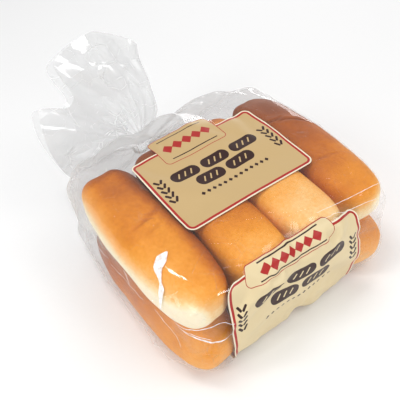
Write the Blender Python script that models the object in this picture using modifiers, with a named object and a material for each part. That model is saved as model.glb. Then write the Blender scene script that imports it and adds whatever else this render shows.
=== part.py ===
"""A clear bag of eight unsliced hot dog buns, built with Blender's modelling tools.

Metres, +Z up. The origin is the middle of the flat base under the buns. The buns lie along Y in two
layers of four side by side along X, the bag's closed end faces -Y, and its gathered neck and loose tail
are at +Y. The bag is one closed solid out to the film, and the tie that holds the neck is another.
"""

import math

import bmesh
import bpy
from mathutils import Matrix, Vector

# Buns, at the size of a 50 g bun.
BUNS_ACROSS = 4
BUN_LAYERS = 2
BUN_PITCH = 0.050
BUN_LENGTH = 0.150
BUN_HEIGHT = 0.0446
BUN_ROUNDING = 0.0195
BUN_ROUNDING_STEPS = 4
UPPER_LAYER_SHIFT = 0.0084
FILM_SLACK = 0.0015

# The film between and past the buns, as sections from the closed end to the neck: where each is along Y,
# its half width, its lowest and highest point, and its share of the neck's offset along X.
FILM_SECTIONS = (
    (-0.0820, 0.058, -0.001, 0.026, -0.8),
    (-0.0805, 0.079, -0.001, 0.046, -0.6),
    (-0.0775, 0.088, -0.001, 0.061, -0.4),
    (-0.0725, 0.095, -0.001, 0.074, -0.3),
    (-0.0660, 0.100, -0.001, 0.081, -0.1),
    (-0.0550, 0.103, -0.001, 0.085, 0.0),
    (-0.0400, 0.105, -0.001, 0.086, 0.0),
    (0.0000, 0.107, -0.001, 0.086, 0.0),
    (0.0450, 0.107, -0.001, 0.086, 0.0),
    (0.0750, 0.104, -0.001, 0.088, 0.0),
    (0.0900, 0.097, 0.004, 0.090, 0.1),
    (0.0990, 0.085, 0.012, 0.088, 0.2),
    (0.1050, 0.065, 0.024, 0.081, 0.5),
    (0.1090, 0.038, 0.035, 0.071, 0.9),
    (0.1120, 0.013, 0.043, 0.060, 1.0),
    (0.1135, 0.0075, 0.0435, 0.0585, 1.0),
)
FILM_SQUARENESS = 3.6
FILM_STEPS_ROUND = 40

# The gathered neck.
NECK_CENTRE = Vector((-0.012, 0.119, 0.051))
NECK_RADIUS = 0.0075
NECK_LENGTH = 0.014
NECK_OVERLAP = 0.003
NECK_SIDES = 24
PLEAT_DEPTH = 0.0012

# The loose tail: a ruffled fan of film that leans back, open at its rim. Angles are in the fan, from +X.
# Its rim is at one reach from the neck, apart from a notch and a slow fall towards both sides.
TAIL_FILM = 0.0014
TAIL_STEPS_ROUND = 72
TAIL_STEPS_LONG = 9
TAIL_LEAN = math.radians(35)
TAIL_FROM = 65.0
TAIL_TO = 183.0
TAIL_REACH = 0.095
TAIL_FALL_PER_DEGREE = 0.00062
TAIL_FULL_FROM = 92.0
TAIL_FULL_TO = 134.0
NOTCH_AT = 130.0
NOTCH_WIDTH = 8.5
NOTCH_DEPTH = 0.030
TAIL_SPREAD_RIGHT = math.radians(75)
TAIL_SPREAD_LEFT = math.radians(15)
TAIL_GATHER = 3.5
TAIL_OPENING = 0.0085
TAIL_RUFFLES = 6
TAIL_RUFFLE_DEPTH = 0.003

# The twist tie: once round the neck, then its ends are twisted together and spread.
TIE_GAP = 0.0004
TIE_WIRE_RADIUS = 0.0011
TIE_RING_TURN = math.radians(324)
TIE_RING_STEPS = 24
TIE_END_LENGTH = 0.016
TIE_END_STEPS = 8
TIE_END_TWIST = math.radians(270)
TIE_END_SPREAD = 2.5

BASE_CUT = (0.30, 0.40, 0.02)


def clear_scene():
    for obj in list(bpy.data.objects):
        bpy.data.objects.remove(obj, do_unlink=True)


def new_collection(name, hidden=False):
    collection = bpy.data.collections.new(name)
    bpy.context.scene.collection.children.link(collection)
    collection.hide_render = hidden
    return collection


def principled(name, colour, roughness, metallic=0.0, alpha=1.0):
    material = bpy.data.materials.new(name)
    material.use_nodes = True
    shader = material.node_tree.nodes["Principled BSDF"]
    shader.inputs["Base Color"].default_value = (*colour, 1.0)
    shader.inputs["Roughness"].default_value = roughness
    shader.inputs["Metallic"].default_value = metallic
    shader.inputs["Alpha"].default_value = alpha
    return material


def object_from(bm, name, collection):
    bmesh.ops.recalc_face_normals(bm, faces=bm.faces)
    mesh = bpy.data.meshes.new(name)
    bm.to_mesh(mesh)
    bm.free()
    obj = bpy.data.objects.new(name, mesh)
    collection.objects.link(obj)
    return obj


def applied(obj):
    """The object with its modifiers made part of its mesh."""
    graph = bpy.context.evaluated_depsgraph_get()
    mesh = bpy.data.meshes.new_from_object(obj.evaluated_get(graph))
    obj.modifiers.clear()
    obj.data = mesh
    return obj


def bun_bulge(name, centre, collection):
    """A bun with the film drawn tight over it: a box with wide rounded edges."""
    bm = bmesh.new()
    size = (BUN_PITCH + FILM_SLACK, BUN_LENGTH + 2 * FILM_SLACK, BUN_HEIGHT + 2 * FILM_SLACK)
    bmesh.ops.create_cube(bm, size=1.0, matrix=Matrix.Diagonal((*size, 1.0)))
    obj = object_from(bm, name, collection)
    obj.location = centre
    bevel = obj.modifiers.new("Rounded crust", "BEVEL")
    bevel.width = BUN_ROUNDING
    bevel.segments = BUN_ROUNDING_STEPS
    bevel.limit_method = "NONE"
    return obj


def bun_bulges(collection):
    made = []
    for layer in range(BUN_LAYERS):
        for column in range(BUNS_ACROSS):
            x = (column - (BUNS_ACROSS - 1) / 2) * BUN_PITCH
            y = UPPER_LAYER_SHIFT * layer
            z = (layer + 0.5) * BUN_HEIGHT
            made.append(bun_bulge(f"bulge_{layer}_{column}", (x, y, z), collection))
    return made


def film_ring(y, half, low, high, drawn):
    """A rounded-square section of the film body."""
    ring = []
    for i in range(FILM_STEPS_ROUND):
        turn = 2 * math.pi * i / FILM_STEPS_ROUND
        across = math.copysign(abs(math.cos(turn)) ** (2 / FILM_SQUARENESS), math.cos(turn))
        upward = math.copysign(abs(math.sin(turn)) ** (2 / FILM_SQUARENESS), math.sin(turn))
        ring.append((NECK_CENTRE.x * drawn + half * across, y, (low + high) / 2 + (high - low) / 2 * upward))
    return ring


def film_body(collection):
    """The film that bridges the buns and narrows to the neck: a loft between unlike sections."""
    bm = bmesh.new()
    rings = [[bm.verts.new(point) for point in film_ring(*section)] for section in FILM_SECTIONS]
    for ring, following in zip(rings, rings[1:]):
        for i in range(FILM_STEPS_ROUND):
            j = (i + 1) % FILM_STEPS_ROUND
            bm.faces.new((ring[i], ring[j], following[j], following[i]))
    for ring in (rings[0], rings[-1]):
        bm.faces.new(ring)
    return object_from(bm, "film_body", collection)


def neck_plug(collection):
    """The gathered neck that the tie grips: a short rod with a pleat at every second side."""
    bm = bmesh.new()
    turn = Matrix.Rotation(math.pi / 2, 4, "X")
    bmesh.ops.create_cone(bm, cap_ends=True, segments=NECK_SIDES, radius1=NECK_RADIUS, radius2=NECK_RADIUS,
                          depth=NECK_LENGTH + NECK_OVERLAP)
    for vertex in bm.verts:
        side = round(math.atan2(vertex.co.y, vertex.co.x) / (2 * math.pi / NECK_SIDES))
        if side % 2:
            vertex.co.xy *= 1 - PLEAT_DEPTH / NECK_RADIUS
    bm.transform(Matrix.Translation(NECK_CENTRE) @ turn)
    return object_from(bm, "neck_plug", collection)


def tail_rim(share):
    """The rim's angle and reach, share of the way across the fan."""
    angle = TAIL_FROM + (TAIL_TO - TAIL_FROM) * share
    outside = max(0.0, TAIL_FULL_FROM - angle, angle - TAIL_FULL_TO)
    notch = NOTCH_DEPTH * math.exp(-(((angle - NOTCH_AT) / NOTCH_WIDTH) ** 4))
    return math.radians(angle), TAIL_REACH - TAIL_FALL_PER_DEGREE * outside - notch


def tail_point(turn, along):
    """A point of the tail: turn goes once round the film tube, along from the neck, 0, to the rim, 1."""
    root = NECK_CENTRE + Vector((0, NECK_LENGTH / 2, 0))
    share = (1 - math.cos(turn)) / 2
    angle, reach = tail_rim(share)
    angle += (TAIL_SPREAD_LEFT * share - TAIL_SPREAD_RIGHT * (1 - share)) * (1 - along) ** 2
    across = Vector((math.cos(angle), 0, 0))
    upward = Vector((0, math.sin(TAIL_LEAN), math.cos(TAIL_LEAN))) * math.sin(angle)
    forward = Vector((0, -math.cos(TAIL_LEAN), math.sin(TAIL_LEAN)))
    ruffle = TAIL_RUFFLE_DEPTH * along * math.sin(2 * math.pi * TAIL_RUFFLES * share)
    opening = math.sin(turn) * (NECK_RADIUS * 0.6 + TAIL_OPENING * along)
    fan = (across + upward) * (NECK_RADIUS * 0.6 + reach * along) + forward * (opening + ruffle)
    ring = Vector((math.cos(turn), 0, math.sin(turn))) * NECK_RADIUS * 0.6
    return root + ring.lerp(fan, min(1.0, along * TAIL_GATHER))


def tail(collection):
    """The loose film past the tie: an open fan of film, given its thickness by Solidify."""
    bm = bmesh.new()
    rows = []
    for i in range(TAIL_STEPS_LONG + 1):
        along = i / TAIL_STEPS_LONG
        rows.append([bm.verts.new(tail_point(2 * math.pi * j / TAIL_STEPS_ROUND, along))
                     for j in range(TAIL_STEPS_ROUND)])
    for row, following in zip(rows, rows[1:]):
        for j in range(TAIL_STEPS_ROUND):
            k = (j + 1) % TAIL_STEPS_ROUND
            bm.faces.new((row[j], row[k], following[k], following[j]))
    obj = object_from(bm, "tail", collection)
    wall = obj.modifiers.new("Film thickness", "SOLIDIFY")
    wall.thickness = TAIL_FILM
    wall.offset = 0.0
    return obj


def floor_cutter(collection):
    bm = bmesh.new()
    place = Matrix.Translation((0, 0, -BASE_CUT[2] / 2))
    bmesh.ops.create_cube(bm, size=1.0, matrix=place @ Matrix.Diagonal((*BASE_CUT, 1.0)))
    cutter = object_from(bm, "floor_cutter", collection)
    cutter.hide_render = True
    cutter.display_type = "WIRE"
    return cutter


def build_bag(parts, helpers, film):
    """The bulges, film, neck and tail as one body, cut flat where the bag stands."""
    pieces = [*bun_bulges(helpers), neck_plug(helpers), tail(helpers)]
    for piece in pieces:
        applied(piece)
    bag = applied(film_body(parts))
    bag.name = bag.data.name = "bag"
    join = bag.modifiers.new("Joined", "BOOLEAN")
    join.operation = "UNION"
    join.operand_type = "COLLECTION"
    join.solver = "MANIFOLD"
    join.collection = helpers
    applied(bag)
    for piece in pieces:
        bpy.data.objects.remove(piece, do_unlink=True)
    cut = bag.modifiers.new("Flat base", "BOOLEAN")
    cut.operation = "DIFFERENCE"
    cut.solver = "MANIFOLD"
    cut.object = floor_cutter(helpers)
    bag.data.materials.append(film)


def tie_ring():
    """The part of the tie round the neck, open towards +X."""
    radius = NECK_RADIUS + TIE_GAP + TIE_WIRE_RADIUS
    points = []
    for i in range(TIE_RING_STEPS + 1):
        angle = math.pi + TIE_RING_TURN * (i / TIE_RING_STEPS - 0.5)
        points.append(NECK_CENTRE + Vector((radius * math.cos(angle), 0, radius * math.sin(angle))))
    return points


def tie_end(sign):
    """One end of the tie, twisted round the other and then spread from it."""
    points = []
    for i in range(1, TIE_END_STEPS + 1):
        along = i / TIE_END_STEPS
        twist = math.pi / 2 - TIE_END_TWIST * min(1.0, 2 * along)
        spread = TIE_WIRE_RADIUS * (1.25 + TIE_END_SPREAD * max(0.0, along - 0.5)) * sign
        out = NECK_RADIUS + 4 * TIE_WIRE_RADIUS + TIE_END_LENGTH * along
        points.append(NECK_CENTRE + Vector((out, spread * math.cos(twist), spread * math.sin(twist))))
    return points


def build_tie(parts, paper):
    """A paper-covered wire along one path: in along one end, round the neck and out along the other."""
    curve = bpy.data.curves.new("tie", "CURVE")
    curve.dimensions = "3D"
    curve.bevel_depth = TIE_WIRE_RADIUS
    curve.bevel_resolution = 2
    curve.use_fill_caps = True
    points = [*reversed(tie_end(1)), *tie_ring(), *tie_end(-1)]
    spline = curve.splines.new("POLY")
    spline.points.add(len(points) - 1)
    for point, place in zip(spline.points, points):
        point.co = (*place, 1.0)
    curve.materials.append(paper)
    parts.objects.link(bpy.data.objects.new("tie", curve))


def main():
    clear_scene()
    parts = new_collection("bagged_hot_dog_buns")
    helpers = new_collection("helpers", hidden=True)
    film = principled("clear_film", (0.80, 0.52, 0.24), 0.12, alpha=0.6)
    paper = principled("tie_paper", (0.86, 0.86, 0.84), 0.6)
    build_bag(parts, helpers, film)
    build_tie(parts, paper)


main()
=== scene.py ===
# %% [markdown]
# # A clear bag of hot dog buns
# Eight soft buns lie in two layers inside a bag of thin clear film. The film is printed on its top and
# on its closed end, gathered into a neck behind the buns, and flares past the tie into a loose tail.
# This lesson loads the plain model of the pack as a frame, bakes the buns, wraps the film round them by
# a cloth simulation, prints it, and lights it as a studio photograph on a pale floor.

# %% Load the frame
import math
import random

import bmesh
import bpy
import numpy as np
from mathutils import Matrix, Vector, noise
from mathutils.bvhtree import BVHTree


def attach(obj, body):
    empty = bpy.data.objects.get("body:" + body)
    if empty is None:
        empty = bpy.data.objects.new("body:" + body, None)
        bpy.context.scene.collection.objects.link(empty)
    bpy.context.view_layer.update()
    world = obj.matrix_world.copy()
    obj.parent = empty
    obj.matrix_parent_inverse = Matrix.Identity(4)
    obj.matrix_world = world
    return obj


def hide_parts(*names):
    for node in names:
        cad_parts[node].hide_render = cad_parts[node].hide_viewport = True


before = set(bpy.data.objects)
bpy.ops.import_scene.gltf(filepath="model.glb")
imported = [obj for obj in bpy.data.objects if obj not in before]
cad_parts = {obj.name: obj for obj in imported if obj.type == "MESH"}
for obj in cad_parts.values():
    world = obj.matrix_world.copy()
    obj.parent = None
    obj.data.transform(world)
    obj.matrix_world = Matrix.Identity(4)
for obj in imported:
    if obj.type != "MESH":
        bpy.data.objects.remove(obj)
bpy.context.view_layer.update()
print("nodes in the frame:", sorted(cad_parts))


# %% [markdown]
# ## Small helpers
# Operators act on all that is selected, so each step first deselects everything. Colours are written as
# sRGB hex values, as a colour picker shows them, and one function turns them into the linear values that
# shaders use. One more function adds a shader node with its settings and links.

# %% Helpers
def deselect_all():
    for obj in bpy.context.selected_objects:
        obj.select_set(False)


def select_only(obj):
    deselect_all()
    obj.select_set(True)
    bpy.context.view_layer.objects.active = obj


def linear(hex_colour):
    """An sRGB hex colour, such as #E8A050, as linear RGBA."""
    channels = [int(hex_colour[i:i + 2], 16) / 255 for i in (1, 3, 5)]
    return (*[c / 12.92 if c <= 0.04045 else ((c + 0.055) / 1.055) ** 2.4 for c in channels], 1.0)


def add_node(tree, kind, inputs=None, **settings):
    """Adds a node, sets its properties, and fills or links its inputs."""
    node = tree.nodes.new(kind)
    for name, value in settings.items():
        setattr(node, name, value)
    for name, value in (inputs or {}).items():
        if isinstance(value, bpy.types.NodeSocket):
            tree.links.new(value, node.inputs[name])
        else:
            node.inputs[name].default_value = value
    return node


def new_material(name):
    material = bpy.data.materials.new(name)
    material.use_nodes = True
    material.node_tree.nodes.clear()
    return material, material.node_tree


def apply_modifiers(obj):
    select_only(obj)
    for modifier in list(obj.modifiers):
        bpy.ops.object.modifier_apply(modifier=modifier.name)


def coordinates(obj):
    flat = np.empty(len(obj.data.vertices) * 3)
    obj.data.vertices.foreach_get("co", flat)
    return flat.reshape(-1, 3)


def move_vertices(obj, places):
    obj.data.vertices.foreach_set("co", np.asarray(places).ravel())
    obj.data.update()


# %% [markdown]
# ## One bun
# A hot dog bun is proofed beside its neighbours, so it rises into a dome with nearly upright sides and
# round ends, and its underside is flat from the tray. A sphere with its poles at the bun's ends is a good
# start: its rings are drawn out along the bun, and each ring is squared off a little. Noise then gives
# the slow lumps of risen dough. A browning value is kept for every vertex, because the crust is brown
# where the oven's heat reached it and stays cream where buns touched. The same value also carries
# painted shade: it is made darker where a bun meets the next one and along the folds across its top.

# %% Bun sizes
BUN_WIDTH = 0.0496
BUN_LENGTH = 0.150
BUN_HEIGHT = 0.0442
BUN_PITCH = 0.050
LAYER_HEIGHT = 0.0446
UPPER_SHIFT = (-0.0012, 0.0084)
FORWARD = {"upper_2": 0.0060, "upper_3": 0.0055}
BASE_LIFT = 0.0006


def ease(low, high, value):
    share = np.clip((value - low) / (high - low), 0, 1)
    return share * share * (3 - 2 * share)


def signed_power(value, power):
    return np.sign(value) * np.abs(value) ** power


# %% Model one bun
def make_bun(name, seed, centre, turn):
    deselect_all()
    bpy.ops.mesh.primitive_uv_sphere_add(segments=104, ring_count=190, radius=1, rotation=(math.pi / 2, 0, 0))
    bun = bpy.context.object
    bun.name = bun.data.name = name
    bpy.ops.object.transform_apply(location=False, rotation=True, scale=False)
    draw = random.Random(seed)
    unit = coordinates(bun)
    latitude = np.arcsin(np.clip(unit[:, 1], -1, 1)) / (math.pi / 2)
    along = signed_power(latitude, 1) * (1.45 - 0.45 * np.abs(latitude))
    along = np.clip(along, -1, 1)
    around = np.arctan2(unit[:, 2], unit[:, 0])
    across, upward = np.cos(around), np.sin(around)
    toward_next = {"1": across, "4": -across}.get(name[-1], 1.5)
    bluntness = 3.1 + 0.9 * ease(-0.9, 0.9, toward_next) + 0.8 * (name[-1] in "23")
    swell = (1 - np.abs(along) ** bluntness) ** (1 / bluntness)
    touching = beside_another(across, seed)
    shoulder = np.where(touching, 4.4, 2.7)
    crown = np.where(touching, 3.2, 2.35)
    x = signed_power(across, 2 / shoulder) * BUN_WIDTH / 2 * swell * (1 + 0.010 * draw.uniform(-1, 1))
    z = np.where(upward > 0, signed_power(upward, 2 / crown), signed_power(upward, 2 / 3.6)) * BUN_HEIGHT / 2
    z = z * np.where(upward > 0, swell, swell ** 0.8) * (1 + 0.012 * draw.uniform(-1, 1))
    y = along * BUN_LENGTH / 2 * (1 + 0.01 * draw.uniform(-1, 1))
    places = np.stack([x, y, z], 1)
    bend = draw.uniform(-1, 1) * 0.0012
    places[:, 0] += bend * (1 - along ** 2)
    offset = Vector((seed * 3.7, seed * 1.3, seed * 2.1))
    lumps = np.array([noise.noise(Vector(p) * 28 + offset) * 0.0011 + noise.noise(Vector(p) * 75 + offset) * 0.0003
                      for p in places])
    outward = places / np.maximum(np.linalg.norm(places * (1, 0.3, 1), axis=1, keepdims=True), 1e-6)
    places += outward * (lumps * (places[:, 2] > -BUN_HEIGHT * 0.42))[:, None]
    painted_crease_shade = np.zeros(len(places))
    for middle_x, middle_y, slope, bend_back, half_length, depth in CREASES.get(name_of(seed), ()):
        sideways = places[:, 0] - middle_x
        from_line = places[:, 1] - middle_y - slope * sideways + bend_back * sideways ** 2
        strength = np.exp(-(sideways / half_length) ** 4) * (places[:, 2] > 0)
        groove = np.exp(-(from_line / 0.0014) ** 2)
        places[:, 2] -= depth * strength * (groove - 0.5 * np.exp(-(from_line / 0.0045) ** 2))
        # painted shade: the colour is darkened along the groove
        painted_crease_shade += 110 * depth * strength * groove
    places[:, 2] = np.maximum(places[:, 2], -BUN_HEIGHT / 2)
    move_vertices(bun, places)
    store_browning_and_shade(bun, places, seed, painted_crease_shade)
    bun.location = centre
    bun.rotation_euler = (0, 0, turn)
    bpy.ops.object.transform_apply()
    bpy.ops.object.shade_smooth()
    return bun


# how much darker each bun is, how pale its free flank and its front end are, how much it fades towards
# the front, and how much painted shade darkens it where it touches the next bun
BAKED = {"lower_1": (0.20, 0.0, 0.06, 0.10, 0.10), "lower_2": (0.08, 0.0, 0.15, 0.14, 0.10),
         "lower_3": (0.08, 0.0, 0.20, 0.14, 0.10), "lower_4": (0.21, 0.0, 0.10, 0.10, 0.10),
         "upper_1": (0.10, 0.60, 0.22, 0.02, 0.34), "upper_2": (0.27, 0.0, 0.26, 0.30, 0.05),
         "upper_3": (-0.04, 0.0, 0.28, 0.20, 0.06), "upper_4": (0.34, 0.26, 0.36, 0.24, 0.04)}
# folds that cross the top of a bun: x and y of the middle, slope, bend, half length, depth; the depth also sets the
# painted shade in the fold
CREASES = {"upper_4": ((0.0007, 0.0223, -0.66, 20, 0.018, 0.0018), (-0.004, -0.030, -0.2, 9, 0.012, 0.0005)),
           "upper_1": ((0.001, 0.0005, 0.20, -8, 0.012, 0.0010), (0.006, 0.0036, 0.36, 0, 0.008, 0.0009),
                       (0.004, -0.008, 0.30, 4, 0.008, 0.0006)),
           "upper_2": ((0.0, -0.022, 0.3, 9, 0.012, 0.0005),), "lower_1": ((0.0, -0.040, 0.3, 9, 0.014, 0.0006),)}


def name_of(seed):
    return ("lower", "upper")[(seed - 1) // 4] + f"_{(seed - 1) % 4 + 1}"


def beside_another(side, seed):
    """True for each vertex on a side where the next bun touches this one."""
    return np.where(side > 0, name_of(seed)[-1] != "4", name_of(seed)[-1] != "1")


def store_browning_and_shade(bun, places, seed, painted_crease_shade):
    """How far each vertex has browned, with painted shade added where buns touch and along folds: 0 is cream crumb
    skin, 1 is the darkest crust.
    """
    height = places[:, 2] / (BUN_HEIGHT / 2)
    side = places[:, 0] / (BUN_WIDTH / 2)
    along = places[:, 1] / (BUN_LENGTH / 2)
    offset = Vector((seed * 1.9, seed * 4.1, seed * 0.7))
    wander = np.array([noise.noise(Vector(p) * 22 + offset) for p in places])
    darker, pale_flank, pale_front, fade, painted_shade_where_touching = BAKED[name_of(seed)]
    value = 0.45 + darker + 0.20 * ease(-0.2, 0.8, along) + 0.22 * ease(0.72, 1.0, along)
    # painted shade: the flank that meets the next bun is made darker
    value += painted_shade_where_touching * ease(0.25, 0.90, np.abs(side)) * beside_another(side, seed)
    outer = side if name_of(seed)[-1] == "4" else -side
    value -= pale_flank * (1 - ease(-0.35, 1.15, height + 0.25 * wander)) * ease(-0.1, 0.6, outer)
    value -= 0.08 * (1 - ease(-0.3, 0.6, height))
    value -= fade * ease(0.05, 0.90, -along)
    value -= pale_front * ease(0.66, 0.96, -along) * (1 - ease(-0.3, 0.85, height))
    value += wander * 0.07 + painted_crease_shade
    attribute = bun.data.attributes.new("browning_and_shade", "FLOAT", "POINT")
    attribute.data.foreach_set("value", np.clip(value, 0, 1))


# %% Lay the buns in two layers
random_turn = random.Random(11)
buns = []
for layer, layer_name in enumerate(("lower", "upper")):
    for column in range(4):
        forward = FORWARD.get(f"{layer_name}_{column + 1}", 0.0)
        centre = Vector(((column - 1.5) * BUN_PITCH + UPPER_SHIFT[0] * layer, UPPER_SHIFT[1] * layer - forward,
                         BASE_LIFT + BUN_HEIGHT / 2 + LAYER_HEIGHT * layer))
        turn = math.radians(random_turn.uniform(-0.5, 0.5))
        bun = make_bun(f"bun_{layer_name}_{column + 1}", 1 + column + 4 * layer, centre, turn)
        buns.append(bun)
print("buns:", len(buns), "vertices each:", len(buns[0].data.vertices))


# %% [markdown]
# ## The film before it is gathered
# A bread bag is a tube of film with one closed end. It starts here as a grid for the closed end, whose
# rim is extruded back step by step into a long straight tube. Each vertex keeps its place on this flat,
# straight film as a UV map, and the print is laid out on that map later, as a printer does before the
# bag is filled.

# %% Make the straight tube
CAP_COLUMNS = 64
CAP_ROWS = 26
TUBE_STEP = 0.01
CAP_Y = -0.062
SECTIONS = np.array((
    (-0.0780, 0.052, 0.0235, 0.036, -0.8),
    (-0.0770, 0.073, 0.0175, 0.050, -0.6),
    (-0.0752, 0.083, 0.0120, 0.062, -0.4),
    (-0.0714, 0.0900, 0.0072, 0.075, -0.3),
    (-0.0660, 0.0950, 0.0038, 0.0835, -0.1),
    (-0.0560, 0.0980, -0.0002, 0.0885, 0.0),
    (-0.0400, 0.0998, -0.0002, 0.0905, 0.0),
    (0.0000, 0.1016, -0.0002, 0.0910, 0.0),
    (0.0450, 0.1018, -0.0002, 0.0910, 0.0),
    (0.0750, 0.1005, -0.0002, 0.0910, 0.0),
    (0.0900, 0.097, 0.004, 0.0905, 0.1),
    (0.0990, 0.085, 0.012, 0.088, 0.2),
    (0.1050, 0.065, 0.024, 0.081, 0.5),
    (0.1090, 0.038, 0.035, 0.071, 0.9),
    (0.1120, 0.013, 0.043, 0.060, 1.0),
    (0.1140, 0.0062, 0.0448, 0.0572, 1.0),
))
NECK = np.array((-0.012, 0.119, 0.051))
FILM_STEP = 0.0032
past_cap = SECTIONS[SECTIONS[:, 0] > CAP_Y]
first = np.array([np.interp(CAP_Y, SECTIONS[:, 0], SECTIONS[:, k]) for k in range(5)])
body_path = np.vstack([first, past_cap])
body_length = np.concatenate([[0], np.cumsum(np.hypot(np.diff(body_path[:, 0]), np.diff(body_path[:, 1])))])
BODY_RINGS = round(body_length[-1] / FILM_STEP)
NECK_RINGS = 4
TAIL_RINGS = 30
print("rings:", BODY_RINGS, NECK_RINGS, TAIL_RINGS)

deselect_all()
bpy.ops.mesh.primitive_grid_add(x_subdivisions=CAP_COLUMNS, y_subdivisions=CAP_ROWS, size=2,
                                rotation=(math.pi / 2, 0, 0))
film = bpy.context.object
film.name = film.data.name = "film"
bpy.ops.object.transform_apply()
bpy.ops.object.mode_set(mode="EDIT")
bpy.ops.mesh.select_mode(type="EDGE")
bpy.ops.mesh.select_all(action="DESELECT")
bpy.ops.mesh.select_non_manifold()
for ring in range(BODY_RINGS + NECK_RINGS + TAIL_RINGS):
    bpy.ops.mesh.extrude_edges_move(TRANSFORM_OT_translate={"value": (0, TUBE_STEP, 0)})
bpy.ops.mesh.select_all(action="SELECT")
bpy.ops.mesh.normals_make_consistent(inside=False)
bpy.ops.object.mode_set(mode="OBJECT")
print("film vertices:", len(film.data.vertices))


# %% [markdown]
# ## Wrapping the tube round the buns
# Each ring of the tube is given its own rounded section, wide over the buns and narrow at the neck. Past
# the neck the rings open again into a flat fan that leans back, with pleats that start in the neck. This
# only puts the film near its place: the simulation after it makes the folds.

# %% Where each point of the tube goes
SQUARENESS = 6.0
TAIL_LEAN = math.radians(35)
TAIL_FROM, TAIL_TO = 65.0, 183.0
TAIL_REACH = 0.095


def perimeter_share(x, z):
    """How far round the square tube a point is, from the right side's middle, over the top: 0 to 1."""
    top = (np.abs(z) >= np.abs(x)) & (z > 0)
    bottom = (np.abs(z) >= np.abs(x)) & (z <= 0)
    left = ~top & ~bottom & (x < 0)
    width, height = 2.2, 1.0
    total = 2 * width + 2 * height
    share = np.where(top, height / 2 + (1 - x) / 2 * width, 0)
    share = np.where(left, height / 2 + width + (1 - z) / 2 * height, share)
    share = np.where(bottom, height * 1.5 + width + (x + 1) / 2 * width, share)
    share = np.where(~top & ~bottom & ~left, (z * height / 2) % total, share)
    return share / total % 1.0


angle = np.linspace(0, 2 * math.pi, 2881)
round_x = signed_power(np.cos(angle), 2 / SQUARENESS)
round_z = signed_power(np.sin(angle), 2 / SQUARENESS)
round_length = np.concatenate([[0], np.cumsum(np.hypot(np.diff(round_x) * 0.105, np.diff(round_z) * 0.045))])
round_share = round_length / round_length[-1]


def section_point(share, y, half, low, high, drawn):
    """A point of a rounded square section; equal shares are equal lengths round it."""
    x = NECK[0] * drawn + half * np.interp(share, round_share, round_x)
    z = (low + high) / 2 + (high - low) / 2 * np.interp(share, round_share, round_z)
    return np.stack([x, np.broadcast_to(y, x.shape), z], -1)


def facets(across, onward, seed):
    """Flat facets with sharp creases: random heights on a skewed lattice, joined by flat triangles."""
    bent = across + 0.35 * np.sin(onward * 2.3 + seed)
    onward = onward + 0.30 * np.sin(across * 2.9 + 2 * seed)
    left, low = np.floor(bent).astype(int), np.floor(onward).astype(int)
    fx, fy = bent - left, onward - low

    def height(i, j):
        return np.sin((i * 127.1 + j * 311.7 + seed * 74.7) * 43.7) * 0.5 + np.sin(i * 269.5 + j * 183.3 + seed) * 0.5

    corner, far = height(left, low), height(left + 1, low + 1)
    right_first = corner + fx * (height(left + 1, low) - corner) + fy * (far - height(left + 1, low))
    up_first = corner + fy * (height(left, low + 1) - corner) + fx * (far - height(left, low + 1))
    return np.where(fx > fy, right_first, up_first)


def tail_place(share, along):
    """A point of the tail, share of the way round and along from the neck, 0, to the rim, 1."""
    front = share < 0.5
    fan = np.where(front, 2 * share, 2 - 2 * share)
    angle = TAIL_FROM + (TAIL_TO - TAIL_FROM) * fan
    outside = np.maximum(0, np.maximum(92 - angle, angle - 134))
    notch = 0.030 * np.exp(-(((angle - 130) / 8.5) ** 4))
    reach = (TAIL_REACH - 0.00062 * outside - notch) * along
    spread = np.radians(15) * fan - np.radians(75) * (1 - fan)
    angle = np.radians(angle) + spread * (1 - along) ** 2
    pleats = 0.0022 * np.sin(2 * math.pi * 17 * share) * np.minimum(1, along * 5) * (1 - along) ** 1.5
    waves = 0.005 * along * np.sin(2 * math.pi * (5.5 * share + 0.15)) + 0.0035 * along * np.sin(
        2 * math.pi * 9 * share + 1.0)
    opening = np.where(front, 1, -1) * (0.0045 + 0.0095 * along) * np.sin(math.pi * fan) ** 0.6
    forward = np.array((0, -math.cos(TAIL_LEAN), math.sin(TAIL_LEAN)))
    upward = np.array((0, math.sin(TAIL_LEAN), math.cos(TAIL_LEAN)))
    side = np.where(front, 0, 1)
    waves *= 0.4
    waves += 0.0120 * facets(fan * 4.2, along * 2.6 + 0.3, 31 + side) * np.minimum(1, along * 3)
    waves += 0.0045 * facets(fan * 9.5, along * 8.0, 53 + side) * np.minimum(1, along * 4) * (1.1 - along)
    reach = reach + 0.0045
    point = np.outer(reach * np.cos(angle), (1, 0, 0)) + np.outer(reach * np.sin(angle), upward)
    point += np.outer(opening + pleats + waves, forward)
    turn = 2 * math.pi * share
    ring = np.stack([np.cos(turn), 0 * turn, np.sin(turn)], 1) * 0.0062
    gather = np.clip(along * 3.5, 0, 1)[:, None]
    return NECK + (0, 0.007, 0) + ring * (1 - gather) + point * gather


# %% Shape the film
blank = coordinates(film)
ring = np.round((blank[:, 1]) / TUBE_STEP).astype(int)
share = perimeter_share(blank[:, 0], blank[:, 2])
placed = np.zeros_like(blank)

station = np.interp(np.arange(BODY_RINGS + 1) * body_length[-1] / BODY_RINGS, body_length, np.arange(len(body_path)))
body = ring <= BODY_RINGS
values = [np.interp(station[np.clip(ring, 0, BODY_RINGS)], np.arange(len(body_path)), body_path[:, k]) for k in range(5)]
placed[body] = section_point(share, *values)[body]
shoulder = ease(0.080, 0.108, values[0]) * (1 - ease(0.1095, 0.1135, values[0]))
ripple = 0.0007 * np.sin(2 * math.pi * 19 * share) + 0.0024 * np.sin(2 * math.pi * 9 * share + 0.8)
radial = placed - (NECK[0], 0, NECK[2])
radial /= np.maximum(np.linalg.norm(radial, axis=1, keepdims=True), 1e-6)
placed[body] += ((0, 0.8, 0) + radial * 0.5)[body] * (shoulder * ripple)[body, None]

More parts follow.
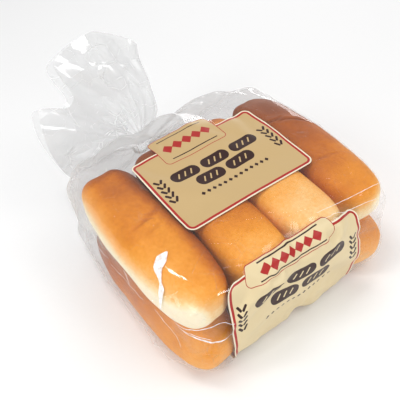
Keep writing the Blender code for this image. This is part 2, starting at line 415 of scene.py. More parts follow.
inside_cap = (ring == 0) & (np.maximum(np.abs(blank[:, 0]), np.abs(blank[:, 2])) < 0.999)
rim_half, rim_low, rim_high = first[1], first[2], first[3]
cap_x = blank[:, 0] * rim_half * (1 - 0.06 * blank[:, 2] ** 8)
cap_z = (rim_low + rim_high) / 2 + blank[:, 2] * (rim_high - rim_low) / 2 * (1 - 0.06 * blank[:, 0] ** 8)
low_y, high_y = np.full(len(blank), SECTIONS[0, 0]), np.full(len(blank), CAP_Y)
for step in range(30):
    middle = (low_y + high_y) / 2
    half, low, high, drawn = [np.interp(middle, SECTIONS[:, 0], SECTIONS[:, k]) for k in (1, 2, 3, 4)]
    outside = (np.abs((cap_x - NECK[0] * drawn) / half) ** SQUARENESS
               + np.abs((cap_z - (low + high) / 2) / ((high - low) / 2)) ** SQUARENESS) > 1
    low_y = np.where(outside, middle, low_y)
    high_y = np.where(outside, high_y, middle)
placed[inside_cap] = np.stack([cap_x, high_y, cap_z], 1)[inside_cap]

neck = (ring > BODY_RINGS) & (ring <= BODY_RINGS + NECK_RINGS)
turn = 2 * math.pi * share
neck_radius = 0.0062 * (1 + 0.10 * np.sin(17 * turn))
neck_y = 0.114 + 0.012 * (ring - BODY_RINGS) / (NECK_RINGS + 1)
neck_points = np.stack([NECK[0] + neck_radius * np.cos(turn), neck_y, NECK[2] + neck_radius * np.sin(turn)], 1)
placed[neck] = neck_points[neck]

tail = ring > BODY_RINGS + NECK_RINGS
along = (ring - BODY_RINGS - NECK_RINGS) / TAIL_RINGS
placed[tail] = tail_place(share, np.clip(along, 0, 1))[tail]
move_vertices(film, placed)
print("film box:", placed.min(0).round(4), placed.max(0).round(4))


# %% [markdown]
# ## Letting the film settle
# The film is a cloth that resists stretching far more than bending, so it buckles into creases. Blender's
# cloth behaves best at the size of clothes, so the film and plain stand-ins for the buns are made ten
# times larger for it. First the tube shrinks on to the buns, then it grows by a few per cent, as a bag
# that is a little too large for its buns does, and the spare film folds up. The neck stays pinned where
# the tie holds it, and the underside where the buns' weight holds it.

# %% Cloth simulation
SIM_SCALE = 10


def solid_for_collision():
    """Plain stand-ins for the buns, joined, at the simulation's scale."""
    parts = []
    for bun in buns:
        deselect_all()
        bun.select_set(True)
        bpy.context.view_layer.objects.active = bun
        bpy.ops.object.duplicate()
        copy = bpy.context.object
        thin = copy.modifiers.new("thin", "DECIMATE")
        thin.ratio = 0.12
        apply_modifiers(copy)
        parts.append(copy)
    deselect_all()
    for part in parts:
        part.select_set(True)
    bpy.context.view_layer.objects.active = parts[0]
    bpy.ops.object.join()
    joined = bpy.context.object
    move_vertices(joined, coordinates(joined) * SIM_SCALE)
    joined.modifiers.new("solid", "COLLISION")
    joined.collision.thickness_outer = 0.004
    joined.collision.cloth_friction = 3
    return joined


def settle(obj, frames, shrink, stiffness, bending, pinned, gravity=0.0):
    """Runs the cloth for some frames and keeps its last shape."""
    group = obj.vertex_groups.get("pinned") or obj.vertex_groups.new(name="pinned")
    group.remove(range(len(obj.data.vertices)))
    group.add([int(i) for i in np.nonzero(pinned)[0]], 1.0, "REPLACE")
    cloth = obj.modifiers.new("cloth", "CLOTH")
    settings = cloth.settings
    settings.quality = 6
    settings.mass = 0.15
    settings.air_damping = 3
    settings.tension_stiffness = settings.compression_stiffness = stiffness
    settings.shear_stiffness = stiffness * 0.5
    settings.bending_stiffness = bending
    settings.tension_damping = settings.compression_damping = 8
    settings.shear_damping = 6
    settings.bending_damping = 0.5
    settings.vertex_group_mass = "pinned"
    settings.pin_stiffness = 5
    settings.shrink_min = shrink
    settings.shrink_max = shrink
    settings.effector_weights.gravity = gravity
    cloth.collision_settings.distance_min = 0.005
    cloth.collision_settings.collision_quality = 3
    cloth.collision_settings.use_self_collision = False
    cloth.point_cache.frame_start = 1
    cloth.point_cache.frame_end = frames
    scene = bpy.context.scene
    for frame_number in range(1, frames + 1):
        scene.frame_set(frame_number)
    select_only(obj)
    bpy.ops.object.modifier_apply(modifier=cloth.name)
    scene.frame_set(1)


solid = solid_for_collision()
move_vertices(film, placed * SIM_SCALE)
held = neck | ((placed[:, 2] < 0.0015) & (placed[:, 1] < 0.085))
rear = placed[:, 1] > 0.086
settle(film, 8, 0.015, 30, 0.3, held | tail | rear, 0.3)
settle(film, 14, -0.022, 30, 0.2, held | tail, 0.1)
settled = coordinates(film) / SIM_SCALE
settled[:, 2] = np.maximum(settled[:, 2], 0.0)
move_vertices(film, settled)
bpy.data.objects.remove(solid, do_unlink=True)
print("moved by the simulation, mm:", (np.linalg.norm(settled - placed, axis=1) * 1000).max().round(1))


# %% [markdown]
# ## The flat map and the finished surface
# The map gives every point of the film its place on the flat, straight bag in metres: u runs across the
# pack and v from the front edge of the top backwards, and down the closed end it goes on below zero.
# One step of subdivision rounds the creases that the simulation left.

# %% Map, subdivide and smooth the film
CAP_EDGE_V = -0.062
ring_v = CAP_Y + np.minimum(ring, BODY_RINGS) * body_length[-1] / BODY_RINGS
flat_u = blank[:, 0] * 0.0997
flat_v = ring_v.copy()
settled = coordinates(film)
column = np.round((blank[:, 0] + 1) * CAP_COLUMNS / 2).astype(int)


def down_the_cap(number):
    """The closed end's vertices in one column, top first, and how far down the film each one lies."""
    found = np.nonzero((ring == 0) & (column == number))[0]
    found = found[np.argsort(-blank[found, 2])]
    steps = np.linalg.norm(np.diff(settled[found], axis=0), axis=1)
    return found, np.concatenate([[0], np.cumsum(steps)])


cap_length = down_the_cap(CAP_COLUMNS // 2)[1][-1]
for number in range(CAP_COLUMNS + 1):
    found, down = down_the_cap(number)
    flat_v[found] = CAP_EDGE_V - down * cap_length / down[-1]
print("length of the closed end, mm:", round(float(cap_length) * 1000, 1))
gathered = ease(0.076, 0.094, values[0]) - 0.25 * (ring > BODY_RINGS)
gathered += 0.45 * ease(0.085, 0.105, -placed[:, 0]) * (1 - ease(0.07, 0.1, values[0])) * ease(0.0, 0.07, values[0])
film.data.attributes.new("gathered", "FLOAT", "POINT").data.foreach_set("value", np.clip(gathered, 0, 1))
low_front = ease(0.055, 0.076, -placed[:, 1]) * (1 - ease(0.015, 0.080, placed[:, 2]))
crumpled = 0.14 + 0.45 * low_front + 0.14 * ease(0.085, 0.102, np.abs(placed[:, 0])) + 0.36 * ease(0.070, 0.095, placed[:, 1])
crumpled = np.where(ring > BODY_RINGS, 0.85, crumpled)
film.data.attributes.new("crumpled", "FLOAT", "POINT").data.foreach_set("value", np.clip(crumpled, 0, 1))
uv_layer = film.data.uv_layers.new(name="flat film")
loop_vertex = np.empty(len(film.data.loops), int)
film.data.loops.foreach_get("vertex_index", loop_vertex)
uv_layer.data.foreach_set("uv", np.stack([flat_u, flat_v], 1)[loop_vertex].ravel())

smooth = film.modifiers.new("round", "SUBSURF")
smooth.levels = smooth.render_levels = 1
smooth.boundary_smooth = "PRESERVE_CORNERS"
apply_modifiers(film)
select_only(film)
bpy.ops.object.shade_smooth()
final = coordinates(film)
print("finished film:", len(film.data.polygons), "faces, box", final.min(0).round(4), final.max(0).round(4))


# %% [markdown]
# ## The printed areas
# The print lies on the film, so its two areas are copies of the film's own faces, lifted off it by a
# fifth of a millimetre. The shapes of the print are worked out in the material from the flat map, which
# keeps their edges sharp on any mesh.

# %% Copy the faces under the print
def print_patch(name, low, high, heights):
    """A copy of the film's faces whose flat place and height lie between two corners."""
    select_only(film)
    bpy.ops.object.duplicate()
    patch = bpy.context.object
    patch.name = patch.data.name = name
    mesh = bmesh.new()
    mesh.from_mesh(patch.data)
    layer = mesh.loops.layers.uv["flat film"]
    unwanted = []
    for face in mesh.faces:
        u, v = sum((loop[layer].uv for loop in face.loops), Vector((0, 0))) / len(face.loops)
        on_print = low[0] < u < high[0] and low[1] < v < high[1]
        if not (on_print and heights[0] < face.calc_center_median().z < heights[1]):
            unwanted.append(face)
    bmesh.ops.delete(mesh, geom=unwanted, context="FACES")
    mesh.to_mesh(patch.data)
    mesh.free()
    lift = patch.modifiers.new("lift", "DISPLACE")
    lift.strength = 0.0002
    lift.mid_level = 0.0
    apply_modifiers(patch)
    return patch


top_print = print_patch("print_top", (-0.068, -0.022), (0.068, 0.085), (0.07, 1.0))
front_print = print_patch("print_front", (-0.070, -0.200), (0.070, -0.040), (0.0005, 1.0))
print("top print faces:", len(top_print.data.polygons))
print("front print faces:", len(front_print.data.polygons))


# %% [markdown]
# ## Painted highlights on folds in the film
# In a few places a narrow ribbon is laid on the film and painted near-white: a painted highlight that
# stands in for the glint of light on a pleat of film, as a white line or shard. Each one is a ribbon
# along a line of points on the film, as wide as the number beside each point.

# %% Lay the painted highlights on the film
PAINTED_HIGHLIGHTS = (
    # the shard that bends over the left upper bun's shoulder
    ((-0.079, -0.023, 0.090, 0.0013), (-0.085, -0.025, 0.089, 0.0080), (-0.090, -0.028, 0.087, 0.0066),
     (-0.093, -0.034, 0.085, 0.0026), (-0.094, -0.037, 0.083, 0.0016), (-0.096, -0.040, 0.081, 0.0046),
     (-0.099, -0.042, 0.076, 0.0034), (-0.102, -0.043, 0.065, 0.0008)),
    # three lines round the front left corner
    ((-0.101, -0.054, 0.062, 0.0004), (-0.092, -0.066, 0.064, 0.0007), (-0.079, -0.074, 0.058, 0.0007),
     (-0.066, -0.078, 0.055, 0.0003)),
    ((-0.099, -0.058, 0.060, 0.0004), (-0.093, -0.067, 0.058, 0.0010), (-0.081, -0.074, 0.042, 0.0012),
     (-0.067, -0.079, 0.043, 0.0004)),
    ((-0.097, -0.062, 0.060, 0.0003), (-0.093, -0.067, 0.060, 0.0005), (-0.081, -0.073, 0.045, 0.0003)),
    # a glint and three long lines down the left side
    ((-0.107, 0.002, 0.062, 0.0006), (-0.108, 0.000, 0.059, 0.0014), (-0.109, -0.003, 0.053, 0.0006)),
    ((-0.108, 0.023, 0.048, 0.0003), (-0.108, 0.009, 0.049, 0.0005), (-0.107, -0.024, 0.057, 0.0003)),
    ((-0.106, 0.055, 0.059, 0.0003), (-0.106, 0.044, 0.047, 0.0006), (-0.108, 0.027, 0.052, 0.0003)),
    ((-0.105, -0.037, 0.060, 0.0003), (-0.104, -0.044, 0.056, 0.0006), (-0.098, -0.058, 0.034, 0.0003)),
    # two faint lines across the front of the right upper buns
    ((0.022, -0.059, 0.088, 0.0002), (0.048, -0.061, 0.086, 0.0004), (0.084, -0.061, 0.080, 0.0003)),
    ((0.022, -0.065, 0.085, 0.0002), (0.048, -0.067, 0.081, 0.0004), (0.075, -0.068, 0.076, 0.0002)))


def ribbon(mesh, surface, points):
    """Adds a strip of faces to the mesh that follows the surface through points of (x, y, z, width)."""
    points = np.array(points)
    count = max(2, int(np.linalg.norm(np.diff(points[:, :3], axis=0), axis=1).sum() / 0.0012))
    stations = np.linspace(0, len(points) - 1, count)
    track = [np.interp(stations, np.arange(len(points)), points[:, k]) for k in range(4)]
    last = None
    for i in range(count):
        here, normal, _, _ = surface.find_nearest(Vector([track[k][i] for k in range(3)]))
        before, after = max(0, i - 1), min(count - 1, i + 1)
        onward = Vector([track[k][after] - track[k][before] for k in range(3)])
        sideways = normal.cross(onward).normalized() * (track[3][i] / 2)
        pair = []
        for way in (-1, 1):
            spot, lift, _, _ = surface.find_nearest(here + sideways * way)
            pair.append(mesh.verts.new(spot + lift * 0.00025))
        if last:
            mesh.faces.new((last[0], last[1], pair[1], pair[0]))
        last = pair


highlight_strips_mesh = bmesh.new()
film_surface = BVHTree.FromObject(film, bpy.context.evaluated_depsgraph_get())
for points in PAINTED_HIGHLIGHTS:
    ribbon(highlight_strips_mesh, film_surface, points)
highlight_strips_data = bpy.data.meshes.new("film_highlight_strips")
highlight_strips_mesh.to_mesh(highlight_strips_data)
highlight_strips_mesh.free()
film_highlight_strips = bpy.data.objects.new("film_highlight_strips", highlight_strips_data)
bpy.context.scene.collection.objects.link(film_highlight_strips)
print("fold faces:", len(film_highlight_strips.data.polygons))


# %% [markdown]
# ## Crust
# Baked crust is matt brown with a faint sheen of fat, mottled where small blisters browned more than
# the skin round them. The browning value, which also carries painted shade between the buns and in
# their folds, picks the colour, slow noise shifts it in patches and fine noise freckles it. A low bump
# gives the skin its tiny wrinkles.

# %% Crust material
def crust_material():
    material, tree = new_material("bun_crust baked")
    place = add_node(tree, "ShaderNodeTexCoord").outputs["Object"]
    browning_and_shade = add_node(tree, "ShaderNodeAttribute", attribute_name="browning_and_shade").outputs["Fac"]
    patches = add_node(tree, "ShaderNodeTexNoise", {"Vector": place, "Scale": 55.0, "Detail": 4.0, "Roughness": 0.6})
    freckles = add_node(tree, "ShaderNodeTexNoise", {"Vector": place, "Scale": 420.0, "Detail": 4.0, "Roughness": 0.65})
    shift = add_node(tree, "ShaderNodeMath", {0: patches.outputs["Fac"], 1: 0.22, 2: -0.11}, operation="MULTIPLY_ADD")
    fine = add_node(tree, "ShaderNodeMath", {0: freckles.outputs["Fac"], 1: 0.22, 2: -0.11}, operation="MULTIPLY_ADD")
    total = add_node(tree, "ShaderNodeMath", {0: browning_and_shade, 1: shift.outputs[0]}, operation="ADD")
    total = add_node(tree, "ShaderNodeMath", {0: total.outputs[0], 1: fine.outputs[0]}, operation="ADD")
    ramp = add_node(tree, "ShaderNodeValToRGB", {"Fac": total.outputs[0]})
    ramp.color_ramp.interpolation = "B_SPLINE"
    stops = ((0.0, "#FBF0D4"), (0.14, "#F9DEA8"), (0.28, "#F3BA70"), (0.43, "#F1A02C"), (0.58, "#DC8410"),
             (0.76, "#B45A08"), (1.0, "#763608"))
    elements = ramp.color_ramp.elements
    for position, colour in stops[2:]:
        elements.new(position)
    for element, (position, colour) in zip(elements, stops):
        element.position = position
        element.color = linear(colour)
    wrinkles = add_node(tree, "ShaderNodeTexNoise", {"Vector": place, "Scale": 260.0, "Detail": 5.0, "Roughness": 0.6})
    pale = add_node(tree, "ShaderNodeMapRange", {0: browning_and_shade, 1: 0.05, 2: 0.45, 3: 0.0050, 4: 0.0006})
    folds = add_node(tree, "ShaderNodeTexNoise", {"Vector": place, "Scale": 110.0, "Detail": 3.0, "Roughness": 0.5})
    relief = add_node(tree, "ShaderNodeMix", {0: 0.5, 2: wrinkles.outputs["Fac"], 3: folds.outputs["Fac"]})
    bump = add_node(tree, "ShaderNodeBump", {"Height": relief.outputs[0], "Distance": pale.outputs[0], "Strength": 0.4})
    surface = add_node(tree, "ShaderNodeBsdfPrincipled", {
        "Base Color": ramp.outputs["Color"], "Roughness": 0.5, "Normal": bump.outputs["Normal"],
        "Subsurface Weight": 0.12, "Subsurface Radius": (0.004, 0.002, 0.001), "Subsurface Scale": 1.0,
        "Specular IOR Level": 0.18})
    add_node(tree, "ShaderNodeOutputMaterial", {"Surface": surface.outputs[0]})
    return material


crust = crust_material()
for bun in buns:
    bun.data.materials.clear()
    bun.data.materials.append(crust)


# %% [markdown]
# ## Clear film
# Polyethylene film is clear face on and reflects like glass, more so at a glancing angle. Its thickness
# wavers, so it is faintly milky where it is seen edge on or lies in folds.

# %% Film material
def shape_distance(tree, place, centre, half, corner, angle=0.0):
    """Distance in metres from a rounded box on the flat map, below zero inside it."""
    offset = add_node(tree, "ShaderNodeVectorMath", {0: place, 1: (*centre, 0)}, operation="SUBTRACT").outputs[0]
    if angle:
        offset = add_node(tree, "ShaderNodeVectorRotate", {"Vector": offset, "Angle": math.radians(angle)},
                          rotation_type="Z_AXIS").outputs[0]
    offset = add_node(tree, "ShaderNodeVectorMath", {0: offset}, operation="ABSOLUTE").outputs[0]
    past = add_node(tree, "ShaderNodeVectorMath", {0: offset, 1: (half[0] - corner, half[1] - corner, 0)},
                    operation="SUBTRACT").outputs[0]
    out = add_node(tree, "ShaderNodeVectorMath", {0: past, 1: (0, 0, 0)}, operation="MAXIMUM").outputs[0]
    length = add_node(tree, "ShaderNodeVectorMath", {0: out}, operation="LENGTH").outputs["Value"]
    parts = add_node(tree, "ShaderNodeSeparateXYZ", {0: past})
    inner = add_node(tree, "ShaderNodeMath", {0: parts.outputs[0], 1: parts.outputs[1]}, operation="MAXIMUM").outputs[0]
    inner = add_node(tree, "ShaderNodeMath", {0: inner, 1: 0.0}, operation="MINIMUM").outputs[0]
    total = add_node(tree, "ShaderNodeMath", {0: length, 1: inner}, operation="ADD").outputs[0]
    return add_node(tree, "ShaderNodeMath", {0: total, 1: corner}, operation="SUBTRACT").outputs[0]


def nearest(tree, distances):
    result = distances[0]
    for distance in distances[1:]:
        result = add_node(tree, "ShaderNodeMath", {0: result, 1: distance}, operation="MINIMUM").outputs[0]
    return result


def inside(tree, distance, inset=0.0):
    """1 within the shape drawn in by inset, fading to 0 over a tenth of a millimetre."""
    return add_node(tree, "ShaderNodeMapRange", {0: distance, 1: -inset - 0.00005, 2: -inset + 0.00005, 3: 1.0, 4: 0.0}
                    ).outputs[0]


def film_material():
    material, tree = new_material("clear_film blown")
    place = add_node(tree, "ShaderNodeTexCoord").outputs["Object"]
    crumpled = add_node(tree, "ShaderNodeAttribute", attribute_name="crumpled").outputs["Fac"]
    drift = add_node(tree, "ShaderNodeTexNoise", {"Vector": place, "Scale": 14.0, "Detail": 1.0})
    offset = add_node(tree, "ShaderNodeVectorMath", {0: drift.outputs["Color"], 1: (0.010, 0.010, 0.010)},
                      operation="MULTIPLY")
    bent = add_node(tree, "ShaderNodeVectorMath", {0: place, 1: offset.outputs[0]}, operation="ADD").outputs[0]
    heights, lines = [], []
    for scale, tilt in ((26.0, 0.38), (60.0, 0.15)):
        cell = add_node(tree, "ShaderNodeTexVoronoi", {"Vector": bent, "Scale": scale})
        inward = add_node(tree, "ShaderNodeVectorMath", {0: bent, 1: cell.outputs["Position"]}, operation="SUBTRACT")
        lean = add_node(tree, "ShaderNodeVectorMath", {0: cell.outputs["Color"], 1: (0.5, 0.5, 0.5)},
                        operation="SUBTRACT")
        slope = add_node(tree, "ShaderNodeVectorMath", {0: inward.outputs[0], 1: lean.outputs[0]},
                         operation="DOT_PRODUCT")
        heights.append(add_node(tree, "ShaderNodeMath", {0: slope.outputs["Value"], 1: tilt}, operation="MULTIPLY"))
        border = add_node(tree, "ShaderNodeTexVoronoi", {"Vector": bent, "Scale": scale}, feature="DISTANCE_TO_EDGE")
        lines.append(add_node(tree, "ShaderNodeMapRange", {0: border.outputs["Distance"], 1: 0.0002 * scale,
                                                          2: 0.0006 * scale, 3: 1.0, 4: 0.0}))
    facet = add_node(tree, "ShaderNodeMath", {0: heights[0].outputs[0], 1: heights[1].outputs[0]}, operation="ADD")
    facet = add_node(tree, "ShaderNodeMath", {0: facet.outputs[0], 1: crumpled}, operation="MULTIPLY")
    bump = add_node(tree, "ShaderNodeBump", {"Height": facet.outputs[0], "Distance": 1.0, "Strength": 1.0})
    patchy = add_node(tree, "ShaderNodeTexNoise", {"Vector": place, "Scale": 40.0, "Detail": 2.0})
    some = add_node(tree, "ShaderNodeMapRange", {0: patchy.outputs["Fac"], 1: 0.55, 2: 0.68})
    crease = add_node(tree, "ShaderNodeMath", {0: lines[0].outputs[0], 1: lines[1].outputs[0]}, operation="MAXIMUM")
    crease = add_node(tree, "ShaderNodeMath", {0: crease.outputs[0], 1: some.outputs[0]}, operation="MULTIPLY")
    crease = add_node(tree, "ShaderNodeMath", {0: crease.outputs[0], 1: crumpled}, operation="MULTIPLY")
    gathered = add_node(tree, "ShaderNodeAttribute", attribute_name="gathered").outputs["Fac"]
    tint = add_node(tree, "ShaderNodeMix", {0: gathered, 6: (0.985, 0.985, 0.985, 1), 7: (0.90, 0.90, 0.90, 1)},
                    data_type="RGBA").outputs[2]
    clear = add_node(tree, "ShaderNodeBsdfTransparent", {"Color": tint})
    milky = add_node(tree, "ShaderNodeBsdfDiffuse", {"Color": linear("#F4F5F5"), "Normal": bump.outputs["Normal"]})
    thin = add_node(tree, "ShaderNodeBsdfTranslucent", {"Color": linear("#F4F5F5"), "Normal": bump.outputs["Normal"]})
    haze = add_node(tree, "ShaderNodeMixShader", {0: 0.35, 1: milky.outputs[0], 2: thin.outputs[0]})
    facing = add_node(tree, "ShaderNodeLayerWeight", {"Blend": 0.35, "Normal": bump.outputs["Normal"]})
    edge = add_node(tree, "ShaderNodeMath", {0: facing.outputs["Facing"], 1: 3.2}, operation="POWER")
    layers = add_node(tree, "ShaderNodeMath", {0: gathered, 1: 0.34, 2: 0.012}, operation="MULTIPLY_ADD")
    layers = add_node(tree, "ShaderNodeMath", {0: crease.outputs[0], 1: 0.45, 2: layers.outputs[0]},
                      operation="MULTIPLY_ADD")
    amount = add_node(tree, "ShaderNodeMath", {0: edge.outputs[0], 1: 0.52, 2: layers.outputs[0]},
                      operation="MULTIPLY_ADD")
    body = add_node(tree, "ShaderNodeMixShader", {0: amount.outputs[0], 1: clear.outputs[0], 2: haze.outputs[0]})
    gloss = add_node(tree, "ShaderNodeBsdfGlossy", {"Color": (1, 1, 1, 1), "Roughness": 0.09,
                                                  "Normal": bump.outputs["Normal"]})
    fresnel = add_node(tree, "ShaderNodeFresnel", {"IOR": 1.5, "Normal": bump.outputs["Normal"]})
    inner = add_node(tree, "ShaderNodeNewGeometry").outputs["Backfacing"]
    keep = add_node(tree, "ShaderNodeMath", {0: inner, 1: -0.6, 2: 1.0}, operation="MULTIPLY_ADD")
    capped = add_node(tree, "ShaderNodeMath", {0: fresnel.outputs[0], 1: 0.06}, operation="MINIMUM")
    shine = add_node(tree, "ShaderNodeMath", {0: capped.outputs[0], 1: keep.outputs[0]}, operation="MULTIPLY")
    skin = add_node(tree, "ShaderNodeMixShader", {0: shine.outputs[0], 1: body.outputs[0], 2: gloss.outputs[0]})
    add_node(tree, "ShaderNodeOutputMaterial", {"Surface": skin.outputs[0]})
    return material


def painted_highlight_material():
    """Painted highlight on a pleat: near-white and mostly opaque, where a single layer of film is clear."""
    material, tree = new_material("clear_film painted_highlight")
    place = add_node(tree, "ShaderNodeTexCoord").outputs["Object"]
    streaks = add_node(tree, "ShaderNodeTexNoise", {"Vector": place, "Scale": 300.0, "Detail": 2.0})
    cover = add_node(tree, "ShaderNodeMapRange", {0: streaks.outputs["Fac"], 1: 0.35, 2: 0.6, 3: 0.6, 4: 0.95})
    clear = add_node(tree, "ShaderNodeBsdfTransparent", {"Color": (0.98, 0.98, 0.98, 1)})
    white = add_node(tree, "ShaderNodeBsdfPrincipled", {"Base Color": linear("#FBFBFB"), "Roughness": 0.3})
    mix = add_node(tree, "ShaderNodeMixShader", {0: cover.outputs[0], 1: clear.outputs[0], 2: white.outputs[0]})
    add_node(tree, "ShaderNodeOutputMaterial", {"Surface": mix.outputs[0]})
    return material


film.data.materials.clear()
film.data.materials.append(film_material())
film_highlight_strips.data.materials.append(painted_highlight_material())


# %% [markdown]
# ## Ink
# The print is opaque ink: a tan field with a cream rim and a dark red line inside it, a smaller badge of
# the same tan, and motifs in dark brown and red. Each shape is a rounded box measured on the flat map.

# %% Print material
def repeat(tree, place, start, pitch, axis=0):
    """The map folded so that a shape round start, on one axis, comes back every pitch."""
    parts = add_node(tree, "ShaderNodeSeparateXYZ", {0: place})
    shifted = add_node(tree, "ShaderNodeMath", {0: parts.outputs[axis], 1: start}, operation="SUBTRACT").outputs[0]
    wrapped = add_node(tree, "ShaderNodeMath", {0: shifted, 1: -pitch / 2, 2: pitch / 2}, operation="WRAP").outputs[0]
    ends = (wrapped, parts.outputs[1]) if axis == 0 else (parts.outputs[0], wrapped)
    return add_node(tree, "ShaderNodeCombineXYZ", {0: ends[0], 1: ends[1]}).outputs[0]


def mirror(tree, place, line):
    """The map folded over at u = line, so that both sides look alike."""
    parts = add_node(tree, "ShaderNodeSeparateXYZ", {0: place})
    shifted = add_node(tree, "ShaderNodeMath", {0: parts.outputs[0], 1: line}, operation="SUBTRACT").outputs[0]
    folded = add_node(tree, "ShaderNodeMath", {0: shifted}, operation="ABSOLUTE").outputs[0]
    return add_node(tree, "ShaderNodeCombineXYZ", {0: folded, 1: parts.outputs[1]}).outputs[0]


def both(tree, first_mask, second_mask):
    return add_node(tree, "ShaderNodeMath", {0: first_mask, 1: second_mask}, operation="MULTIPLY").outputs[0]


def print_material(name, panel, badge, middle, scale, wrinkle, field):
    """Ink for one printed area: panel and badge are (centre, half size), middle and scale set the motifs."""
    material, tree = new_material(name)
    place = add_node(tree, "ShaderNodeUVMap", uv_map="flat film").outputs[0]
    panel_edge = shape_distance(tree, place, *panel, 0.006)
    badge_edge = shape_distance(tree, place, *badge, 0.0045)
    tan, cream, red, brown = linear(field), linear("#E8DCC2"), linear("#A82420"), linear("#301410")

    def over(base, mask, colour):
        return add_node(tree, "ShaderNodeMix", {0: mask, 6: base, 7: colour}, data_type="RGBA").outputs[2]

    colour = add_node(tree, "ShaderNodeRGB")
    colour.outputs[0].default_value = cream
    colour = over(colour.outputs[0], inside(tree, panel_edge, 0.0012), red)
    colour = over(colour, inside(tree, panel_edge, 0.0031), tan)
    cx, cy = middle
    for rise, shift, half_zone in ((0.0085, 0.0, 0.0435), (-0.0050, 0.0145, 0.0290)):
        at = cy + rise * scale
        row = repeat(tree, place, cx + shift * scale, 0.029 * scale)
        zone = shape_distance(tree, place, (cx, at), (half_zone * scale, 0.012), 0.001)
        loaf = shape_distance(tree, row, (0, at), (0.0130 * scale, 0.0056 * scale), 0.0055 * scale)
        colour = over(colour, both(tree, inside(tree, loaf), inside(tree, zone)), brown)
        cuts = repeat(tree, place, cx + shift * scale, 0.0058 * scale)
        cut = shape_distance(tree, cuts, (0, at), (0.0006 * scale, 0.0030 * scale), 0.0005 * scale, 32)
        within = both(tree, inside(tree, loaf, 0.0030 * scale), inside(tree, zone))
        colour = over(colour, both(tree, inside(tree, cut), within), tan)
    dots = repeat(tree, place, cx, 0.0052 * scale)
    small = shape_distance(tree, dots, (0, cy - 0.0170 * scale), (0.0013 * scale, 0.0013 * scale), 0.0002, 45)
    small_zone = shape_distance(tree, place, (cx, cy - 0.0170 * scale), (0.034 * scale, 0.004), 0.001)
    colour = over(colour, both(tree, inside(tree, small), inside(tree, small_zone)), brown)
    for side in (-1, 1):
        stem = (panel[0][0] + side * (panel[1][0] - 0.0090), cy + 0.001)
        leaves = repeat(tree, mirror(tree, place, stem[0]), stem[1], 0.0052 * scale, 1)
        leaf = shape_distance(tree, leaves, (0.0021 * scale, 0), (0.0010 * scale, 0.0027 * scale), 0.0009 * scale, 35)
        ear = shape_distance(tree, place, stem, (0.0055 * scale, 0.0130 * scale), 0.001)
        colour = over(colour, both(tree, inside(tree, leaf), inside(tree, ear)), brown)
    colour = over(colour, inside(tree, badge_edge), red)
    colour = over(colour, inside(tree, badge_edge, 0.0006), tan)
    bx, by = badge[0]
    half_badge = badge[1]
    size = min(half_badge[1] * 0.36, 0.0036)
    lozenges = repeat(tree, place, bx, size * 2.7)
    lozenge = shape_distance(tree, lozenges, (0, by), (size, size), size * 0.15, 45)
    count = 2 * int(half_badge[0] * 0.74 / (size * 2.7)) + 1
    badge_zone = shape_distance(tree, place, (bx, by), (size * 1.35 * count, size * 2), 0.0002)
    colour = over(colour, both(tree, inside(tree, lozenge), inside(tree, badge_zone)), red)
    lines = [shape_distance(tree, place, (bx, by + way * half_badge[1] * 0.72), (half_badge[0] * 0.74, 0.0005), 0.0003)
             for way in (-1, 1)]
    colour = over(colour, inside(tree, nearest(tree, lines)), brown)
    rumple = add_node(tree, "ShaderNodeTexNoise", {
        "Vector": add_node(tree, "ShaderNodeTexCoord").outputs["Object"], "Scale": 34.0, "Detail": 2.0})
    bump = add_node(tree, "ShaderNodeBump", {"Height": rumple.outputs["Fac"], "Distance": 0.01, "Strength": wrinkle})
    ink = add_node(tree, "ShaderNodeBsdfPrincipled", {"Base Color": colour, "Roughness": 0.38,
                                                    "Specular IOR Level": 0.4, "Normal": bump.outputs[0]})
    bare = add_node(tree, "ShaderNodeBsdfTransparent", {"Color": (1, 1, 1, 1)})
    covered = inside(tree, nearest(tree, [panel_edge, badge_edge]))
    mix = add_node(tree, "ShaderNodeMixShader", {0: covered, 1: bare.outputs[0], 2: ink.outputs[0]})
    add_node(tree, "ShaderNodeOutputMaterial", {"Surface": mix.outputs[0]})
    return material


TOP_PANEL = ((0.001, 0.0235), (0.0610, 0.0400))
TOP_BADGE = ((-0.003, 0.0630), (0.0305, 0.0165))
FRONT_TOP, FRONT_FOOT = -0.0640, CAP_EDGE_V - cap_length + 0.003
FRONT_PANEL = ((-0.0055, (FRONT_TOP + FRONT_FOOT) / 2), (0.0615, (FRONT_TOP - FRONT_FOOT) / 2))
FRONT_BADGE = ((-0.0115, -0.0665), (0.0400, 0.0085))
top_print.data.materials.clear()
top_print.data.materials.append(print_material("label_print top", TOP_PANEL, TOP_BADGE, (0.001, 0.0235), 1.0, 0.08, "#C2A574"))
# the front panel's field is painted a lighter tan than the top's: painted light that makes up for the weaker light on
# the front face
front_print.data.materials.clear()
front_print.data.materials.append(print_material("label_print front", FRONT_PANEL, FRONT_BADGE, (-0.0055, -0.0975), 1.0, 0.30, "#DBC89E"))


# %% [markdown]
# ## Put the pieces on the frame
# The buns, the film and its print take the plain bag's place. The paper tie of the frame keeps its
# shape and gets a finish of its own.

# %% Attach the pieces
for piece, slot in [(film, "clear_film"), (film_highlight_strips, "clear_film"), (top_print, "label_print"), (front_print, "label_print")] + [
        (bun, "bun_crust") for bun in buns]:
    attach(piece, "root")
    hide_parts("bag")

tie_paper, tree = new_material("tie_paper coated")
fibres = add_node(tree, "ShaderNodeTexNoise", {"Scale": 900.0, "Detail": 3.0,
                                              "Vector": add_node(tree, "ShaderNodeTexCoord").outputs["Object"]})
shade = add_node(tree, "ShaderNodeMix", {0: fibres.outputs["Fac"], 6: linear("#F2F1EC"), 7: linear("#DEDCD4")},
                 data_type="RGBA")
paper = add_node(tree, "ShaderNodeBsdfPrincipled", {"Base Color": shade.outputs[2], "Roughness": 0.55})
add_node(tree, "ShaderNodeOutputMaterial", {"Surface": paper.outputs[0]})
tie = bpy.data.objects["tie"]
for slot in tie.material_slots:
    slot.link = "OBJECT"
    slot.material = tie_paper
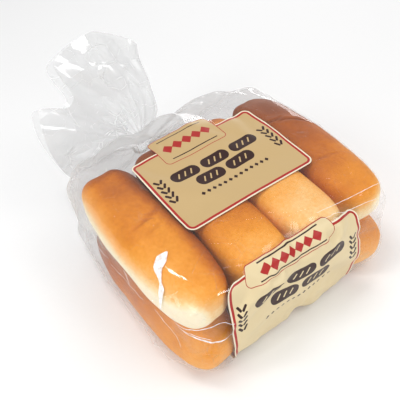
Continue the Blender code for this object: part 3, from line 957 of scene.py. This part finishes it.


# %% [markdown]
# ## The studio
# The pack stands on a pale floor under a pale sky. A wide soft key light from the front right gives the
# form, two weak fills from the left open the shadows, and four narrow bright lights above, at the left,
# behind and in front put white glints on the film's facets and creases; the brightest white shard and
# lines on the film are painted highlights.

# %% Floor, lights and world
deselect_all()
bpy.ops.mesh.primitive_plane_add(size=12, location=(0, 0, -0.0004))
floor = bpy.context.object
floor.name = "floor"
floor_paint, tree = new_material("floor paper")
grain = add_node(tree, "ShaderNodeTexNoise", {"Scale": 300.0, "Vector": add_node(tree, "ShaderNodeTexCoord").outputs["Object"]})
tone = add_node(tree, "ShaderNodeMix", {0: grain.outputs["Fac"], 6: linear("#F3F3F3"), 7: linear("#F1F1F1")},
                data_type="RGBA")
matt = add_node(tree, "ShaderNodeBsdfPrincipled", {"Base Color": tone.outputs[2], "Roughness": 0.9,
                                                 "Specular IOR Level": 0.1})
add_node(tree, "ShaderNodeOutputMaterial", {"Surface": matt.outputs[0]})
floor.data.materials.append(floor_paint)


def soft_light(name, place, aim, size, radiance):
    """A square softbox of a given radiance, so that size and brightness can be set apart."""
    data = bpy.data.lights.new(name, "AREA")
    data.shape = "RECTANGLE"
    data.size, data.size_y = size
    data.energy = radiance * size[0] * size[1] * math.pi
    obj = bpy.data.objects.new(name, data)
    bpy.context.scene.collection.objects.link(obj)
    obj.location = place
    obj.rotation_euler = (Vector(aim) - Vector(place)).to_track_quat("-Z", "Y").to_euler()
    return obj


soft_light("above", (-0.17, 0.20, 0.95), (0, 0, 0.05), (0.09, 0.32), 26.0)
soft_light("key", (0.42, -0.30, 0.86), (0, 0, 0.05), (0.46, 0.46), 2.8)
soft_light("left", (-0.80, 0.02, 0.72), (0, 0, 0.05), (0.10, 0.30), 14.0)
soft_light("behind", (0.75, 0.75, 0.22), (0, 0.05, 0.05), (0.60, 0.20), 6.0)
soft_light("front", (0.30, -0.92, 0.30), (0, 0.05, 0.06), (0.26, 0.14), 14.0)
soft_light("fill", (-0.60, -0.90, 0.50), (0, 0, 0.03), (0.80, 0.50), 1.7)
soft_light("side fill", (-1.05, 0.0, 0.35), (0, 0, 0.03), (0.50, 0.40), 2.8)

world = bpy.data.worlds.new("studio")
bpy.context.scene.world = world
world.use_nodes = True
world.node_tree.nodes.clear()
direction = add_node(world.node_tree, "ShaderNodeTexCoord").outputs["Generated"]
rise = add_node(world.node_tree, "ShaderNodeSeparateXYZ", {0: direction}).outputs[2]
level = add_node(world.node_tree, "ShaderNodeMapRange", {0: rise, 1: 0.0, 2: 0.9, 3: 0.34, 4: 0.62}).outputs[0]
sky = add_node(world.node_tree, "ShaderNodeBackground", {"Color": (1, 1, 1, 1), "Strength": level})
add_node(world.node_tree, "ShaderNodeOutputWorld", {"Surface": sky.outputs[0]})
bpy.context.scene.view_settings.view_transform = "Standard"


# %% [markdown]
# ## The camera
# It looks down on the closed end and the left side from close by, a little rolled.

# %% Camera
EYE = Vector((-0.1969, -0.2373, 0.3936))
turn_angle, tilt, roll = math.radians(-34.3626), math.radians(46.4582), math.radians(-3.3984)
back = Vector((math.sin(turn_angle) * math.cos(tilt), -math.cos(turn_angle) * math.cos(tilt), math.sin(tilt)))
right = Vector((math.cos(turn_angle), math.sin(turn_angle), 0))
up = back.cross(right)
right, up = right * math.cos(roll) + up * math.sin(roll), up * math.cos(roll) - right * math.sin(roll)
lens = bpy.data.cameras.new("camera")
lens.angle = 2 * math.atan(200 / 588.74)
lens.clip_start = 0.01
camera = bpy.data.objects.new("camera", lens)
bpy.context.scene.collection.objects.link(camera)
camera.matrix_world = Matrix((
    (right.x, up.x, back.x, EYE.x), (right.y, up.y, back.y, EYE.y), (right.z, up.z, back.z, EYE.z), (0, 0, 0, 1)))
bpy.context.scene.camera = camera
